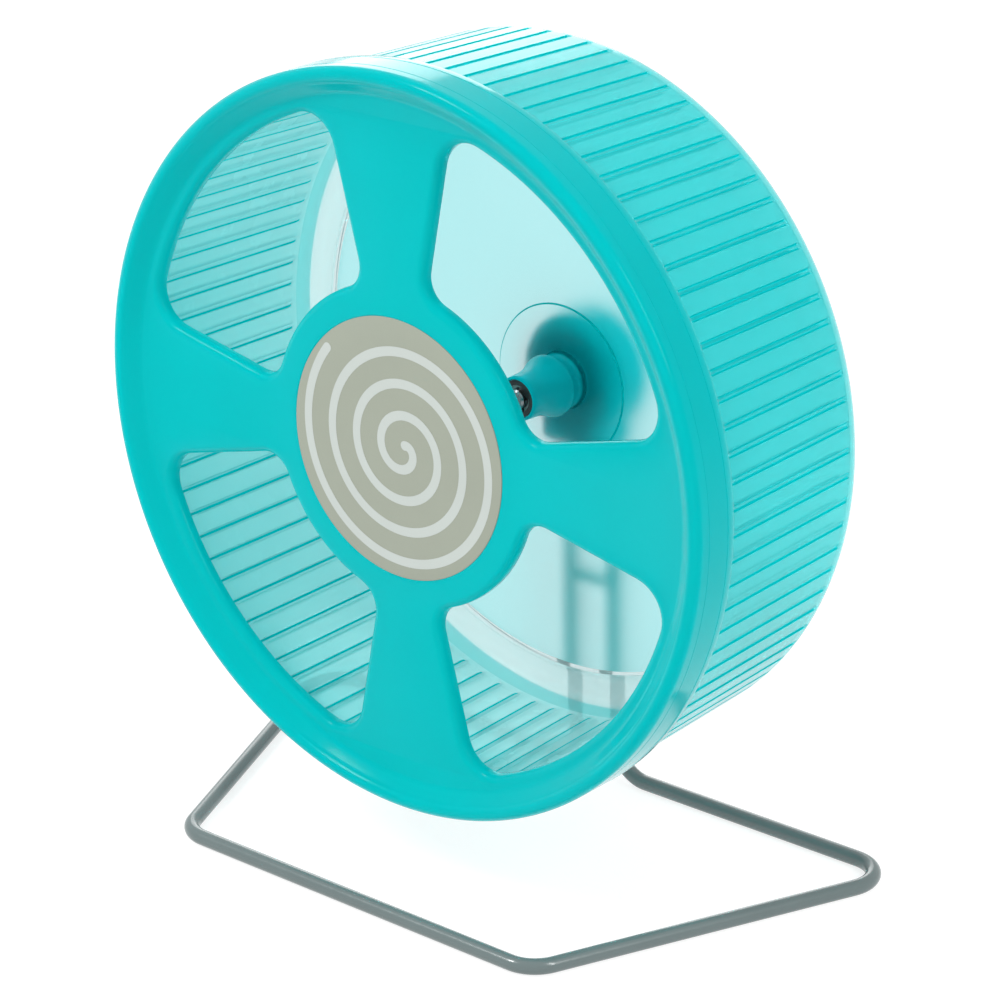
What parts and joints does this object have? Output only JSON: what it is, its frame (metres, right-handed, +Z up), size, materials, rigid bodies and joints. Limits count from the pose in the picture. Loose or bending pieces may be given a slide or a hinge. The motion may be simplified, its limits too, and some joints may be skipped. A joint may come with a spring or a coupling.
{
  "type": "rodent exercise wheel",
  "caption": "Free-standing small-pet running wheel: ribbed translucent cup drum with a windowed front cover, turning on an axle held by a bent-wire stand.",
  "frame": {"origin": "middle of the footprint box, on the floor the base wire rests on", "axes": "+Z up; -Y out of the open front of the wheel; +X to the right seen from the front; the wheel turns about the Y direction"},
  "size_m": [0.2856, 0.1548, 0.3107],
  "materials": {
    "teal_plastic": "translucent, satin inside, matt back wall",
    "label_film": "printed with a light spiral line",
    "wire_paint": "satin powder coat",
    "head_plastic": "fine matt",
    "axle_steel": "turned",
    "black_steel": "phosphated spring steel",
    "zinc_steel": "zinc plated",
    "bearing_steel": "ground",
    "white_nylon": "moulded",
    "cage_nylon": "moulded"
  },
  "bodies": {
    "stand": {"base_wire": "wire_paint", "cross_tie": "wire_paint", "head_front_shell": "head_plastic", "head_rear_shell": "head_plastic", "head_screws": "zinc_steel", "axle": "axle_steel", "axle_washer": "zinc_steel", "axle_nut": "zinc_steel", "bearing_inner_race": "bearing_steel", "thrust_washer": "white_nylon", "retaining_clip": "black_steel"},
    "wheel": {"wheel_drum": "teal_plastic", "front_cover": "teal_plastic", "spiral_label": "label_film", "front_bush": "white_nylon", "bearing_outer_race": "bearing_steel", "bearing_shields": "bearing_steel", "bearing_retainer": "white_nylon"},
    "ball_cage": {"bearing_cage": "cage_nylon", "bearing_balls": "bearing_steel"}
  },
  "joints": [
    {"name": "wheel_spin", "type": "hinge", "parent": "stand", "child": "wheel", "pos_m": [0, 0, 0.1707], "axis": [0, 1, 0], "continuous": true},
    {"name": "cage_spin", "type": "hinge", "parent": "stand", "child": "ball_cage", "pos_m": [0, 0, 0.1707], "axis": [0, 1, 0], "continuous": true}
  ],
  "couplings": [
    {"joint": "cage_spin", "follows": "wheel_spin", "ratio": 0.59921}
  ]
}
